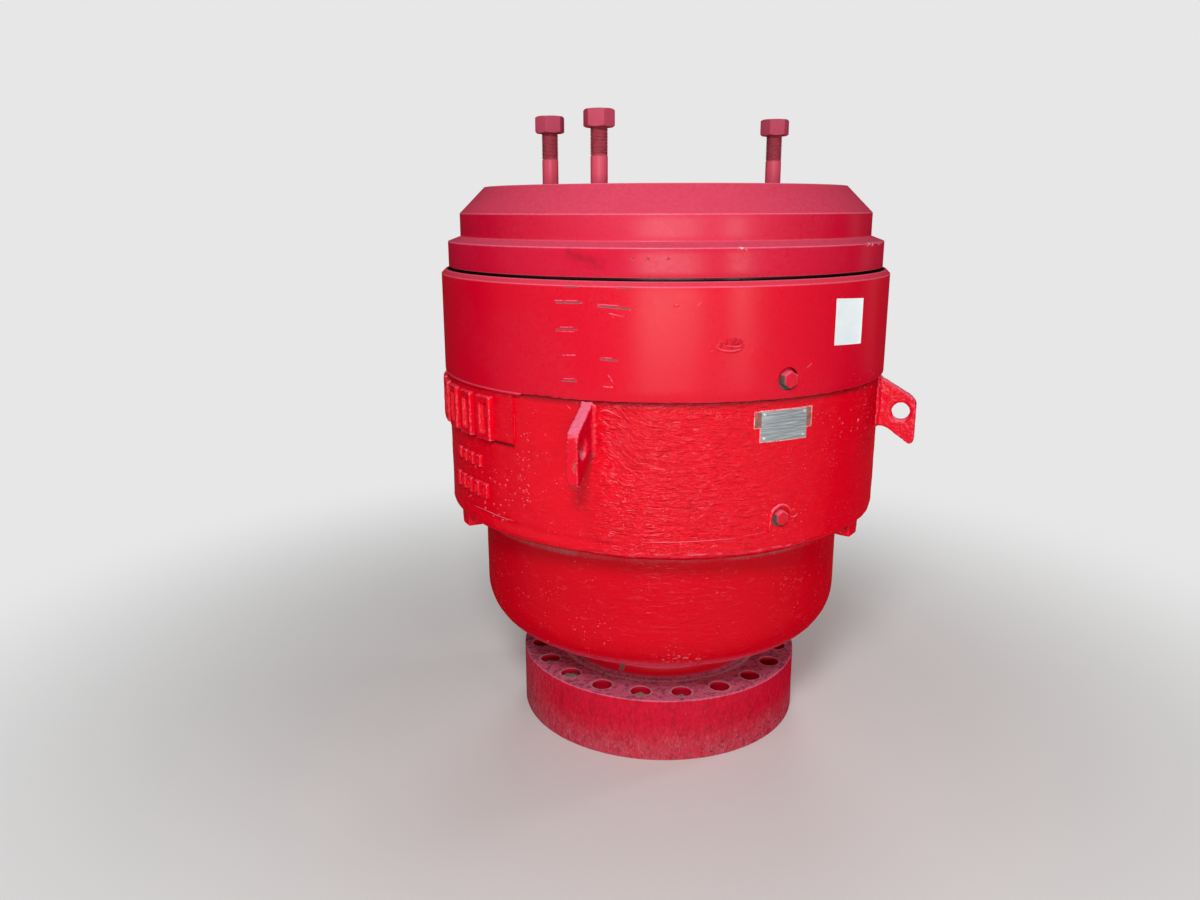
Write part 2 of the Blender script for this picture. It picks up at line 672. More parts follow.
def bowlMarks(paint):
    # dust in the joint under the cast band and where the bowl turns under, rubbed streaks
    fleck = paint.noise(13, 4, (1, 1, 0.5)).between(0.3, 0.6)
    hairs = paint.noise(4, 3, (1, 1, 0.22), 0.6)
    aside = paint.turn.size().least(60)
    joint = (paint.z + hairs * 12 + aside * aside * 0.003).between(577, 586) * paint.radius.between(470, 478)
    joint = joint * (0.35 + hairs * 0.55) * (0.45 + paint.noise(40, 4, roughness=0.7).between(0.35, 0.6) * 0.6)
    dusty = paint.turn.within(-120, -90, -34, -20).most(paint.turn.within(12, 20, 34, 42)) * 0.6 + 0.36
    paint.over(joint * dusty, "jointDust")
    paint.over((paint.z.within(262, 270, 284, 322) * (0.35 + fleck * 0.5)).held() * 0.5, "purple")
    rubbed = paint.noise(34, 4, (1, 1, 3.2), twist=0.8).between(0.58, 0.72)
    paint.over(rubbed * 0.06, "worn")
    rough = paint.spot(3, 322, 70, 22, 470).between(0, 0.6) * paint.noise(11).between(0.56, 0.64)
    paint.over(rough * 0.4, "rubbed")
    return rubbed * 0.15 + rough * 0.8


def flangeMarks(paint):
    # dusty top with pale rings round the holes, worn hub, dusty foot of the wall, runs and dark specks
    fine = paint.noise(7, 4, roughness=0.7)
    cloudy = paint.noise(60)
    onTop = paint.z.within(166.5, 168, 170, 174)
    paint.over(onTop * (0.55 + cloudy.between(0.3, 0.7) * 0.35), "purple")
    paint.over(onTop * fine.between(0.5, 0.62) * 0.55, "mottle")
    paint.over(onTop * paint.noise(15, 4, roughness=0.7).between(0.45, 0.62) * 0.7, "shade")
    ring = paint.fromHoles(336.55, 7, 18).between(33, 28) * onTop
    paint.over(ring * (0.25 + fine.between(0.4, 0.6) * 0.5), "holeRing")
    paint.over(paint.ringEdge(279, 168.3, 8) * fine.between(0.35, 0.6) * 1.6, "footLine")
    hub = paint.z.between(172, 178) * paint.radius.between(290, 280)
    paint.over(hub, "cast")
    for radius, height in ((250, 193), (264, 178)):
        paint.over(paint.ringEdge(radius, height, 5) * 0.8, "worn")
    paint.over(paint.spot(-26, 187, 11, 17, 262).between(0, 0.5) * paint.noise(8, 2).between(0.35, 0.5) * hub, "scab")
    onWall = paint.radius.between(382, 383.5)
    low = paint.z.between(110, 4) * (0.3 + cloudy.between(0.3, 0.7) * 0.35)
    low = low + paint.turn.within(-175, -120, -80, -38) * 0.4
    paint.over(low * onWall * (0.6 + fine * 0.6), "wallDust")
    for grain, clear, full, tint, share in ((11, 0.46, 0.6, "run", 0.4), (5, 0.52, 0.68, "paleRun", 0.06 + low * 0.8)):
        run = paint.noise(grain, 4, (1, 1, 0.4), 0.75).between(clear, full)
        paint.over(onWall * run * share, tint)
    grime = onWall * (paint.z.between(70, 20) * paint.turn.between(5, 25) + 0.45)
    paint.over(grime * paint.noise(8, 2).between(0.6, 0.68) * 0.7, "grime")
    paint.dulled(onTop * 0.25 + low * 0.2)


def studMarks(paint):
    # the threaded length is duller and darker than the shank
    threaded = paint.z.between(1490.5, 1492)
    paint.over(threaded, "thread")
    paint.over(paint.noise(12, 3, (1, 1, 3)).between(0.45, 0.65) * threaded * 0.4, "threadGrime")
    paint.dulled(threaded * 0.3)


def lugMarks(paint):
    # chips and dark specks of the front lug's outer face, tip and heel
    chipped = paint.noise(7, twist=0.8).between(0.47, 0.55)
    strip = paint.spot(-19.6, 846, 4.5, 16, 663).between(0, 0.4) * paint.radius.between(657, 660)
    tip = paint.z.between(803, 799) * paint.radius.between(648, 654) * paint.spot(-20, 800, 30, 14, 660).between(0, 0.3)
    heel = paint.spot(-19, 846, 9, 9, 580).between(0, 0.4) * paint.radius.within(567, 571, 588, 594)
    paint.over(strip * chipped, "lugChip")
    paint.over(tip * 0.8, "bare")
    paint.over(heel * chipped * 0.9, "heelRust")
    paint.dulled(strip * 0.3)


castPaint = enamelled("castEnamel", "cast", rough=0.14, cast=(6.5, 20, 0.1), dust=0.03, gloss=0.16, extra=castMarks,
                      soot=[(568, 971, 17, 1), (553, 614, 13, 0.9)], edges=[(564, 622, 4, 0.12)])
bowlPaint = enamelled("bowlEnamel", "bowl", rough=0.2, cast=(2, 30, 0), dust=0.03, gloss=0.1, extra=bowlMarks,
                      soot=[(481, 612, 16, 0.8), (262, 262, 30, 0.4)], aside=(0.15, 0.55, 0.97), bored=True)
bandPaint = enamelled("bandEnamel", "machined", rough=0.29, dust=0.09, gloss=0.19, extra=bandMarks,
                      edges=[(576.6, 1215.5, 2.4, 0.8), (566.5, 1226, 3, 0.7), (576.6, 971.3, 2.2, 0.7)])
headPaint = enamelled("headEnamel", "head", rough=0.29, dust=0.12, gloss=0.24, extra=headMarks, bored=True,
                      edges=[(462, 1426, 3.4, 1.1), (526, 1362, 2.6, 0.9), (558, 1294, 3, 1.1), (526, 1306, 3, 0.4),
                             (558, 1232, 2.4, 0.5)])
flangePaint = enamelled("flangeEnamel", "flange", rough=0.44, dust=0.05, gloss=0.1, extra=flangeMarks,
                        settledTint="purple", bored=True, edges=[(384.15, 168.3, 4, 1.4), (384.15, 0, 6, 0.4)])
studPaint = enamelled("studEnamel", "stud", rough=0.34, dust=0.2, gloss=0.3, extra=studMarks)
nutPaint = enamelled("nutEnamel", "nut", rough=0.55, dust=0.2, gloss=0.15)
letterPaint = enamelled("raisedBlockEnamel", "cast", rough=0.18, cast=(2.6, 12, 0), dust=0.06, gloss=0.2, rubbed=0.9)
lugPaint = enamelled("lugEnamel", "lug", rough=0.24, cast=(2.2, 12, 0), dust=0.3, gloss=0.2, rubbed=0.7, extra=lugMarks)
standingOut = (0.6, 0.98, 0.7)  # small rounded forms keep their shine further aside
fleckPaint = enamelled("fleckEnamel", "cast", rough=0.22, dust=0.2, gloss=0.4, aside=standingOut)
ridgePaint = enamelled("ridgeEnamel", "cast", rough=0.22, dust=0.34, gloss=0.4, aside=standingOut)


def plainFinish(name, colour, rough, metal, grain, depth, stretch=(1, 1, 1), other=None, gloss=0.5):
    made = Finish(name)
    pattern = made.noise(grain, 4, stretch=stretch)
    skin = made.mix(pattern.between(0.35, 0.7), colour, other or tuple(c * 0.7 for c in colour))
    return made.set(colour=skin, roughness=rough + (pattern - 0.5) * 0.25, metallic=metal, gloss=gloss,
                    normal=made.bump(pattern, depth))


rubberSkin = plainFinish("mouldedRubber", (0.022, 0.022, 0.023), 0.62, 0, 5, 0.08, gloss=0.4)
insertSteel = plainFinish("forgedInsertSteel", (0.26, 0.25, 0.24), 0.45, 1, 7, 0.06)
boreSteel = plainFinish("machinedSteel", (0.34, 0.33, 0.32), 0.32, 1, 30, 0.02, stretch=(1, 1, 40))
bareSteel = plainFinish("chippedSteel", tints["bare"], 0.62, 0.35, 4, 0.2, other=(0.07, 0.06, 0.055))
plateSteel = plainFinish("dullAluminium", (0.2, 0.22, 0.235), 0.42, 0.5, 60, 0.05, stretch=(1, 1, 26),
                         other=(0.43, 0.46, 0.47))
primerStrip = plainFinish("barePrimer", (0.38, 0.1, 0.07), 0.7, 0, 14, 0.5, other=(0.16, 0.08, 0.06))
labelVinyl = plainFinish("blankLabel", (0.8, 0.87, 0.88), 0.35, 0, 40, 0.03, other=(0.74, 0.82, 0.84))
grit = plainFinish("driedGrit", (0.34, 0.3, 0.26), 0.9, 0, 5, 0.5, other=(0.16, 0.12, 0.1))
print("finishes are made")


# body casting: neck and bowl, cast band, machined band
bodySet = {"bore": 173.05, "neck": 247.65, "hubTop": 200.3, "bowl": 480.8, "bowlBottom": 266, "bandBottom": 614,
           "bandTop": 972, "castBand": 566.5, "castTop": 568, "machined": 577, "top": 1226, "seam": 540,
           "lowerBore": 395.8, "upperBore": 490.5, "threadBore": 500.3, "ledge": 660, "floor": 360,
           "sleeveBore": 213.35, "sleeveSeat": 340, "lipSeat": 1060, "chamfer": 10.5}
b = bodySet
outside = b["seam"] + 1  # what is further out than this shows
bowl = turned("bowlAndNeck", [
    (b["bore"], b["hubTop"]), (b["neck"], b["hubTop"], 0, 8), (b["neck"], b["bowlBottom"], 22, 9),
    (b["bowl"], b["bowlBottom"], 120, 9), (b["bowl"], b["bandBottom"], 15, 12), (b["seam"], b["bandBottom"]),
    (b["seam"], b["ledge"]), (b["lowerBore"], b["ledge"]), (b["lowerBore"], b["floor"]),
    (b["sleeveBore"], b["floor"]), (b["sleeveBore"], b["sleeveSeat"]), (b["bore"], b["sleeveSeat"]),
], 480, arcStep=5)
roughened(bowl, 90, 2.6,
          lambda azimuth, across, up: fade(across, 256, 290) * fade(b["seam"] - across, 0, 20) * (across > 250))
put(smoothed(bowl), bowlPaint, "body_casting")

castBand = turned("castBand", [
    (b["seam"], b["bandBottom"], 0, 6), (b["castBand"], b["bandBottom"], 20, 4.6), (b["castTop"], b["bandTop"]),
    (b["upperBore"], b["bandTop"]), (b["upperBore"], b["ledge"]), (b["seam"], b["ledge"]),
], 720)


def castShare(azimuth, across, up):
    calm = fade(azimuth, 13, 17) * fade(37, azimuth, azimuth + 4) if azimuth < 37 else 0
    calm *= fade(up, 850, 868)
    return (across > outside) * fade(across, outside, 552) * fade(b["bandTop"] + 1 - up, 0, 12) * (1 - 0.85 * calm)


for vertex, azimuth, across, up in measured(castBand):  # the lower corner hangs down at the front
    if across > outside and up < 650:
        vertex.co.z -= 5.5 * mm * fade(azimuth, -26, -12) * fade(34 - azimuth, 0, 16) * fade(650 - up, 0, 30)
    if across > 561:  # and rolls out below a shallow groove to the left of it
        above = (up - 641 - 0.3 * max(0, -azimuth - 10)) / 9
        rolled = fade(azimuth, -74, -58) * fade(-2 - azimuth, 0, 12) * math.exp(-above * above)
        vertex.co.x, vertex.co.y = (place * (1 - 2.6 * rolled / across) for place in (vertex.co.x, vertex.co.y))
roughened(castBand, 70, 3.2, castShare)
roughened(castBand, 15, 1.1, castShare, squash=(1, 1, 0.45), depth=1)
roughened(castBand, 28, 7,
          lambda azimuth, across, up: (across > outside) * fade(650 - up, 0, 22) * fade(across, 545, 560)
          * max(0.25, 1 - abs(azimuth - 14) / 22), direction="Z")
put(smoothed(castBand), castPaint)

machinedBand = turned("machinedBand", [
    (b["upperBore"], b["bandTop"]), (b["machined"], b["bandTop"], 2.2, 24),
    (b["machined"], b["top"] - b["chamfer"], 1.6), (b["machined"] - b["chamfer"], b["top"], 1.6),
    (b["threadBore"], b["top"]), (b["threadBore"], b["lipSeat"]), (b["upperBore"], b["lipSeat"]),
], 720, arcStep=1)
for vertex, azimuth, across, up in measured(machinedBand):  # the lip's lower stretch, left of its notch
    if up < b["bandTop"] + 4 and across > outside:
        vertex.co.z -= 7 * mm * fade(azimuth, -80, -72) * fade(-36.6 - azimuth, 0, 0.8)
roughened(machinedBand, 26, 9,
          lambda azimuth, across, up: (across > outside) * fade(b["bandTop"] + 5 - up, 0, 4)
          * (fade(azimuth, -36.4, -34) * fade(-21 - azimuth, 0, 4) * 0.75 + 0.14), direction="Z")
print("body casting is turned")

for name, port in portSet.items():
    port["frame"] = facing(port["azimuth"], port["face"], port["height"])
upper, lower = portSet["upper"], portSet["lower"]
cut(machinedBand, rodOf("spotTool", [(0, upper["spot"]), (5.6, upper["spot"]), (12, upper["spot"] + 6)], 72,
                        upper["frame"]))
cut(machinedBand, rodOf("portTool", [(-82, upper["hole"]), (4, upper["hole"])], 48, upper["frame"]))
put(smoothed(machinedBand), bandPaint)
cut(castBand, rodOf("spotTool", [(0, lower["spot"]), (14, lower["spot"])], 72, lower["frame"]))
smoothed(castBand)


# plugs, with the bare patch and the paint round them
def hexPlug(name, port):
    corner = port["across"] / math.sqrt(3)
    plug = rodOf(name, [(-0.5, corner), (port["head"] - 2.6, corner), (port["head"], corner - 3.2)], 6)
    bevelled(plug, 1.3, angle=25)
    shank = rodOf("shank", [(-38, port["hole"] - 0.3), (1, port["hole"] - 0.3)], 40)
    plug = joined([plug, shank], name)
    plug.data.transform(port["frame"])
    return smoothed(plug, 32)


def bareFacets(paint, port):
    front = port["face"] + port["head"] - 1
    up = paint.z - port["height"]
    slant = paint.along(port["azimuth"], port["face"]) * 0.75 + up
    low = slant.between(-2, -6) * paint.radius.between(front, front - 0.6) * (up.size() / -30 + 1).held()
    return low.between(0, 0.2)


def plugMarks(paint):
    # bare metal on the lower left facets of both plugs
    bare = highest(bareFacets(paint, port) for port in portSet.values())
    paint.over(bare, "bare")
    paint.dulled(bare * 0.3)


plugPaint = enamelled("plugEnamel", "machined", rough=0.3, dust=0.22, gloss=0.25, aside=standingOut, extra=plugMarks)
put(hexPlug("upperPlug", upper), plugPaint, "upper_port_plug")
put(hexPlug("lowerPlug", lower), plugPaint, "lower_port_plug")


def patchOnFace(name, port, inner, outer, start, sweep):
    # a thin crescent of bare metal on a port's spot face, from azimuth start over sweep degrees
    outline = []
    for step in [*range(13), *range(25, 12, -1)]:  # out along the rim, and back inside it
        share = step % 13
        turn = math.radians(start + sweep * share / 12)
        reach = outer if step < 13 else inner + (outer - inner) * abs(share / 6 - 1) ** 3
        outline.append((reach * math.cos(turn), reach * math.sin(turn)))
    put(plateOf(name, outline, 0.5, port["frame"]), bareSteel, slot="bare_steel")


patchOnFace("upperBarePatch", upper, 10, 24.7, 172, 112)
patchOnFace("lowerBarePatch", lower, 10, 22.7, 165, 115)

rim = []
for index in range(31):
    turn = math.radians(8 + index * 7.4)
    reach = 27.5 + chance.uniform(-0.7, 0.7) + 15 * max(0, index - 25) / 5
    rim.append(lower["frame"] @ (Vector((reach * math.cos(turn), reach * math.sin(turn), 4.6)) * mm))
boss = beadOf("lowerPortRim", rim, 8.5, ends=0.3)
hook = [(27.1, 571, 699), (27.9, 573, 694), (28.8, 573, 695.5), (29.8, 570, 701)]
whisker = beadOf("whisker", [around(*place) for place in hook], 4)
boss = remade(joined([boss, whisker], "lowerPortRim"), 1.1)
roughened(boss, 6, 1.8)
rimPaint = enamelled("rimEnamel", "cast", rough=0.24, dust=0.34, gloss=0.35, cast=(0.5, 8, 0), aside=(0.5, 0.95, 0.8))
put(softened(boss), rimPaint)
print("ports are done")


# tongues, lugs and welds
tongueSet = {"azimuths": (-65.5, 54.5, 174.5), "face": 562, "top": 66, "foot": 44, "drop": 26, "rise": 26,
             "depth": 42}
t = tongueSet
tongueOutline = [(-t["foot"] / 2, -t["drop"]), (t["foot"] / 2, -t["drop"]), (t["top"] / 2, t["rise"]),
                 (-t["top"] / 2, t["rise"])]
tongue = plateOf("tongue", tongueOutline, t["depth"], facing(0, t["face"] - t["depth"] / 2, b["bandBottom"]))
tongue = ringOf(bevelled(tongue, 5), t["azimuths"], "castTongues")
remade(tongue, 2.6)
roughened(tongue, 18, 2)
put(softened(tongue), castPaint)

lugSet = {
    "thickness": 28, "hole": (626.3, 879, 21),
    "sides": {"front": -20, "right": 70, "back": 160, "left": 250},
    "outline": [
        (564, 968), (570, 968), (580.3, 960), (644, 922.5), (653, 916), (659.5, 907.5), (662.3, 899), (662.7, 890),
        (662.7, 812), (661.6, 804), (658, 798.5), (651.5, 797), (645, 800), (598, 833.5), (590, 837.5), (580, 839.5),
        (572, 838), (564, 832),
    ],
}
# the plate is drawn with its outline across X and up Y, then stood on the wall at azimuth 0
standing = Matrix(((0, 0, -1, 0), (-1, 0, 0, 0), (0, 1, 0, 0), (0, 0, 0, 1)))
for side, azimuth in lugSet["sides"].items():
    plate = plateOf("lugPlate", lugSet["outline"], lugSet["thickness"] - 2, standing)
    holeAcross, holeUp, holeRadius = lugSet["hole"]
    rings = [(-20, 34), (-14, 29), (-9, holeRadius + 1), (9, holeRadius + 1), (14, 29), (20, 34)]
    cut(plate, rodOf("pinTool", rings, 48, standing @ Matrix.Translation((holeAcross * mm, holeUp * mm, 0))))
    bevelled(plate, 3.6)
    beads = []
    for edge in (-1, 1):
        across = edge * (lugSet["thickness"] / 2 + 1.5)
        foot = [Vector((across + chance.uniform(-1, 1), -(567 + chance.uniform(0, 3)), 962 - step * 12)) * mm
                for step in range(11)]
        beads.append(beadOf("weld", foot, 15, ends=0.45))
    lug = remade(joined([plate] + beads, "liftingLug" + side.capitalize()), 2.4)
    roughened(lug, 16, 3.2)
    roughened(lug, 6, 1.5)
    roughened(lug, 8, 2.6, lambda turn, across, up: fade(582 - across, 0, 10))
    lug.data.transform(spun(azimuth))
    put(softened(lug), lugPaint, "lifting_lug_" + side)
print("lugs are welded on")


# raised rows and their pad
rowSet = {
    "upper": {"count": 6, "azimuth": -49.5, "pitch": 82, "wide": 62, "tall": 110, "rise": 16, "height": 899,
              "rim": 16, "panel": 9, "grain": 2.6},
    "middle": {"count": 4, "azimuth": -53.5, "pitch": 36, "wide": 24, "tall": 32, "rise": 8, "height": 785,
               "rim": 7.5, "panel": 4, "grain": 1.6},
    "lower": {"count": 5, "azimuth": -51, "pitch": 38, "wide": 26, "tall": 40, "rise": 8, "height": 715,
              "rim": 8, "panel": 4, "grain": 1.6},
}
for name, row in rowSet.items():
    blocks = []
    for index in range(row["count"]):
        azimuth = row["azimuth"] - index * math.degrees(row["pitch"] / b["castTop"])
        deselectAll()
        bpy.ops.mesh.primitive_cube_add(size=1)
        block = bpy.context.object
        edit()
        bpy.ops.transform.resize(value=(row["wide"] * mm, row["tall"] * mm, 2 * row["rise"] * mm))
        bpy.ops.mesh.select_all(action="DESELECT")
        bpy.ops.mesh.select_mode(type="FACE")
        bpy.ops.object.mode_set(mode="OBJECT")
        for vertex in block.data.vertices:  # draft towards the top
            if vertex.co.z > 0:
                vertex.co.x *= 1 - 5 / row["wide"]
                vertex.co.y *= 1 - 5 / row["tall"]
        for face in block.data.polygons:
            face.select = face.center.z > 0.9 * row["rise"] * mm
        bpy.ops.object.mode_set(mode="EDIT")
        bpy.ops.mesh.inset(thickness=row["rim"] * mm)
        bpy.ops.mesh.extrude_region_move(TRANSFORM_OT_translate={"value": (0, 0, -row["panel"] * mm)})
        bpy.ops.transform.resize(value=(0.8, 0.9, 1))
        bpy.ops.mesh.select_mode(type="VERT")
        bpy.ops.object.mode_set(mode="OBJECT")
        bevelled(block, 2.6, 2)
        block.data.transform(facing(azimuth, b["castTop"] - 1, row["height"]))
        blocks.append(block)
    rowPiece = remade(joined(blocks, "raisedBlocks" + name.capitalize()), row["grain"])
    roughened(rowPiece, 10, row["rise"] * 0.16)
    put(softened(rowPiece), letterPaint, "raised_blocks_" + name)

pad = turned("raisedPad", [(560, 848, 0), (573, 848, 2.5, 5), (573, 966, 3), (560, 966, 0)], 150, (-88, -39.6))
roughened(pad, 30, 2.2, lambda azimuth, across, up: across > 569)
put(smoothed(pad), castPaint)
print("raised rows are cast")


# lumps, flash ridges, grinding strokes and the blob of paint on the band
lumpSet = {
    "fields": [  # azimuths, heights, count, radii, wall
        ((-38.9, -35.3), (690, 880), 48, (1.3, 2.9), 567.4), ((-60, -40), (655, 765), 34, (1.5, 3.2), 567.2),
        ((-34, -22), (640, 930), 20, (1, 2.4), 567.4), ((-19, -9), (690, 800), 20, (1.2, 2.6), 567.2),
        ((36, 62), (850, 955), 14, (1.4, 3), 567.6), ((19, 33), (650, 722), 16, (1.2, 2.6), 567),
        ((5.6, 9), (938, 950), 6, (2, 4), 567.6), ((-16.5, -9), (1150, 1172), 12, (0.9, 1.7), 576.9),
        ((80, 240), (630, 950), 60, (1.2, 3.4), 567.2), ((-75, 75), (320, 590), 34, (0.8, 1.7), 480.6),
        ((-1.2, -0.6), (1178, 1180), 2, (2.6, 3.4), 576.6), ((44, 62), (985, 1010), 8, (0.8, 1.4), 576.9),
        ((6, 16), (1076, 1112), 12, (0.9, 1.8), 576.8),
    ],
    "profile": [(-1.2, 1), (0, 1), (0.42, 0.84), (0.7, 0.52), (0.82, 0.18)],
}
lump = rodOf("lump", lumpSet["profile"], 10)
lumps = []
for azimuths, heights, count, radii, wall in lumpSet["fields"]:
    for index in range(count):
        radius = chance.uniform(*radii)
        shape = Matrix.Diagonal((radius * chance.uniform(0.8, 1.8), radius, radius * chance.uniform(0.6, 0.9), 1))
        place = facing(chance.uniform(*azimuths), wall, chance.uniform(*heights))
        lumps.append(copied(lump, place @ Matrix.Rotation(chance.uniform(0, math.pi), 4, "Z") @ shape))
bpy.data.objects.remove(lump)
put(smoothed(joined(lumps, "castLumps"), 60), fleckPaint)

ridgeSet = {  # each line's (azimuth, height) places, and its width
    "cast": {"wall": 568.6, "lines": [
        (((-17.3, 943), (-16.7, 948), (-15.7, 950.5), (-14.8, 948), (-13.9, 943)), 6),
        (((-13.3, 940.5), (-12.8, 938.5), (-12, 936)), 3.5), (((-24.9, 955), (-24.4, 951), (-23.8, 947)), 3),
        (((-39.5, 852), (-39.6, 870), (-39.5, 892), (-39.6, 915)), 3),
        (((-8.3, 655.5), (-4, 656.5), (1, 657), (6, 658.5), (11, 659.5), (14.5, 661)), 2.6),
        (((15.5, 664), (18.5, 665), (21, 667)), 2), (((5.5, 951), (6.2, 946.5), (7.1, 945)), 3.4),
        (((7.8, 936), (8.6, 939), (9.4, 942.5)), 3), (((-57, 662), (-50, 664), (-44, 661), (-40.5, 662)), 2.4),
    ]},
    "band": {"wall": 577, "lines": [
        (((7.4, 1096), (7.8, 1088), (8.8, 1083), (10.4, 1080.5), (12.2, 1081.5), (13.6, 1086)), 4.6),
        (((9.2, 1096), (10.6, 1090.5), (12.4, 1089.5), (13.6, 1093)), 3.6),
        (((8.9, 1108), (8.8, 1101), (9.4, 1096)), 2.6), (((13.4, 1098), (14.2, 1095), (15, 1096)), 1.8),
        (((6.2, 1080), (7, 1083), (7.8, 1084)), 1.6),
    ]},
}
for index in range(24):  # grinding strokes
    start, low = -17 + chance.uniform(0, 1) ** 2 * 4.5, chance.uniform(795, 936)
    reach, drop = chance.uniform(0.5, 1.9), chance.uniform(3, 17)
    stroke = ((start, low), (start + reach * 0.35, low - drop * 0.6), (start + reach, low - drop))
    ridgeSet["cast"]["lines"].append((stroke, chance.uniform(1.4, 3.2)))
for name, group in ridgeSet.items():
    beads = [beadOf("ridge", [around(azimuth, group["wall"], height) for azimuth, height in line], width, ends=0.2)
             for line, width in group["lines"]]
    ridges = joined(beads, name + "Ridges")
    roughened(ridges, 7, 1)
    put(smoothed(ridges, 60), ridgePaint)
print("lumps and ridges are on")


# head
headSet = {"bore": 173.05, "cavity": 420, "cavityTop": 1168, "plugFoot": 1104, "plug": 500, "seat": 540,
           "ring": 558, "ringBottom": 1232, "ringTop": 1294, "wall": 526, "wallBottom": 1306,
           "wallTop": 1362, "top": 1426, "topEdge": 462}
h = headSet
head = turned("steppedHead", [
    (h["bore"], h["cavityTop"]), (h["bore"], h["top"] - 6, 0.8), (h["bore"] + 6, h["top"], 0.8), (184, h["top"], 0.5),
    (187.6, h["top"] - 14.2, 0.8), (200.4, h["top"] - 14.2, 0.8), (204, h["top"], 0.5),
    (h["topEdge"], h["top"], 1.6, 12), (h["wall"], h["wallTop"], 1.4, 14), (h["wall"], h["wallBottom"], 1.5),
    (h["ring"], h["ringTop"], 2, 14), (h["ring"], h["ringBottom"], 1.5), (h["seat"], h["ringBottom"]),
    (h["seat"], b["top"]), (h["plug"], b["top"]), (h["plug"], h["plugFoot"] + 4), (h["plug"] - 4, h["plugFoot"]),
    (h["cavity"], h["plugFoot"]), (h["cavity"], h["cavityTop"]),
], 600, arcStep=0.8)
studSet = {"circle": 295.275, "first": -34.5, "holes": 16, "radius": 20.65, "depth": 1.9, "pitch": 3.175,
           "foot": 1492.4, "turns": 31}  # the last four are the thread's
s = studSet
tapped = [(h["top"] - 68, 18), (h["top"] - 63, 19.3), (h["top"] - 2.2, 19.3), (h["top"] + 1, 22.5)]
drilledRing(head, tapped, 40, s["circle"], s["first"], s["holes"])
put(smoothed(head, 35), headPaint, "head", slot="head_paint")
print("head is turned")


# studs and nuts
def threadOf(radius, depth, pitch, foot, turns):
    # a V ridge wound round the Z axis
    root = radius - depth - 0.3
    section = [(root, 0), (radius, pitch * 0.42), (radius, pitch * 0.54), (root, pitch * 0.96)]
    ridge = drawn("thread", [Vector((across, 0, foot + up)) * mm for across, up in section])
    bpy.ops.mesh.delete(type="ONLY_FACE")
    applied(ridge, "SCREW", screw_offset=pitch * mm, iterations=turns, steps=30, render_steps=30, use_smooth_shade=True)
    edit()
    bpy.ops.mesh.remove_doubles(threshold=1e-7)
    bpy.ops.mesh.fill_holes(sides=0)
    return edited(ridge)


nutSet = {"width": 65.1, "foot": 1555, "top": 1595.5, "turns": (17, 47.5, 2.5), "face": 31.6, "bore": 20.9,
          "slip": 1.3}  # slip, in degrees, keeps the corner tool's edges off the nut's
tall = nutSet["top"] - nutSet["foot"]
corner = nutSet["width"] / math.sqrt(3)
for number, (position, turn) in enumerate(zip((-2, 0, 6), nutSet["turns"]), start=1):
    stand = Matrix.Translation(around(s["first"] + position * 360 / s["holes"], s["circle"], 0))
    shank = rodOf("shank", [(1362, 18), (1364, 20.2), (1491, 20.2), (1492.5, 18.6), (1592.5, 18.6), (1595.4, 16.6)], 48)
    ridge = threadOf(s["radius"], s["depth"], s["pitch"], s["foot"], s["turns"])
    stud = smoothed(joined([shank, ridge], f"stud{number}"), 30)
    stud.data.transform(stand)
    put(stud, studPaint, f"stud_{number}", slot="stud_paint")

    nut = rodOf(f"heavyNut{number}", [(-2, corner), (tall + 2, corner)], 6)
    rounded = [(0, nutSet["face"]), (4.2, corner + 1), (tall - 4.2, corner + 1), (tall, nutSet["face"])]
    cut(nut, rodOf("cornerTool", rounded, 96, spun(nutSet["slip"])), "INTERSECT")
    bore, mouth = nutSet["bore"], nutSet["bore"] + 1.7
    cut(nut, rodOf("tapTool", [(-1, mouth), (1.4, bore), (tall - 1.4, bore), (tall + 1, mouth)], 48))
    smoothed(bevelled(nut, 0.7, 2, 28), 32)
    nut.data.transform(stand @ Matrix.Translation((0, 0, nutSet["foot"] * mm)) @ spun(turn - 90))
    put(nut, nutPaint, f"nut_{number}", slot="nut_paint")
print("studs and nuts are on")


# bottom flange
flangeSet = {"radius": 384.15, "thickness": 168.3, "circle": 336.55, "hole": 25.4, "first": 7, "count": 20,
             "grit": {-65: 19, -47: 14, -11: 20, 7: 21}}  # depth of the grit below the top, by azimuth
f = flangeSet
flange = turned("bottomFlange", [
    (b["bore"], 0), (186.8, 0), (193, 15.7), (210, 15.7), (216.3, 0), (f["radius"], 0, 2.5),
    (f["radius"], f["thickness"], 3), (b["neck"], f["thickness"], 28, 10), (b["neck"], b["hubTop"]),
    (b["bore"], b["hubTop"]),
], 600, arcStep=1.2)
drilled = [(-1, 27), (1.2, f["hole"]), (f["thickness"] - 1.6, f["hole"]), (f["thickness"] + 1, 28)]
drilledRing(flange, drilled, 64, f["circle"], f["first"], f["count"])
put(smoothed(flange, 35), flangePaint, "bottom_flange", slot="flange_paint")

fills = []
for azimuth, depth in f["grit"].items():
    level = f["thickness"] - depth
    hole = Matrix.Translation(around(azimuth, f["circle"], 0))
    fills.append(rodOf("fill", [(level - 26, f["hole"] - 0.1), (level, f["hole"] - 0.1)], 40, hole))
heap = remade(joined(fills, "gritInHoles"), 2.2)
roughened(heap, 11, 12, lambda azimuth, across, up: fade(up, 100, 122), direction="Z", depth=3)
put(smoothed(heap, 50), grit, slot="flange_paint")
print("flange is drilled")


